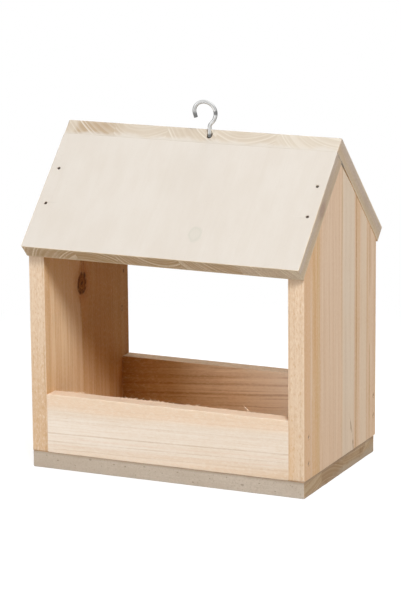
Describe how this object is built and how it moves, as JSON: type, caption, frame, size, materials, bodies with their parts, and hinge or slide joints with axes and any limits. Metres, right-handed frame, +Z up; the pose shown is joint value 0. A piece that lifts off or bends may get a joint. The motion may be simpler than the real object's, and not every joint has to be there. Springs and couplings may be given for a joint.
{
  "type": "bird feeder",
  "caption": "House-shaped wooden bird feeder, open at the front and back, with low rails round a seed tray, a gable roof and a wire screw hook in the ridge to hang it by.",
  "frame": {"origin": "middle of the whole part's box, on the underside of the floor board", "axes": "+Z up, +X to the right along the ridge, +Y to the back, so the front faces -Y"},
  "size_m": [0.213, 0.157, 0.2649],
  "materials": {
    "bare_wood": "planed, untreated",
    "pale_stained_wood": "planed, pale stain",
    "grey_stained_wood": "planed, grey-brown stain",
    "zinc_wire": "bright zinc plate",
    "nail_steel": "dull, slightly rusted"
  },
  "bodies": {
    "house": {"floor_board": "grey_stained_wood", "left_wall": "bare_wood", "right_wall": "bare_wood", "front_rail": "bare_wood", "back_rail": "bare_wood", "front_roof_board": "pale_stained_wood", "back_roof_board": "pale_stained_wood", "front_roof_nails_left": "nail_steel", "front_roof_nails_right": "nail_steel", "back_roof_nails_left": "nail_steel", "back_roof_nails_right": "nail_steel", "ridge_nails": "nail_steel", "front_rail_nails_left": "nail_steel", "front_rail_nails_right": "nail_steel", "back_rail_nails_left": "nail_steel", "back_rail_nails_right": "nail_steel", "floor_nails_left": "nail_steel", "floor_nails_right": "nail_steel"},
    "hook": {"screw_hook": "zinc_wire"}
  },
  "joints": [
    {"name": "hook_turn", "type": "hinge", "parent": "house", "child": "hook", "pos_m": [0.007, -0.00354, 0.243], "axis": [0, 0, 1], "range_deg": [-180, 180]}
  ]
}
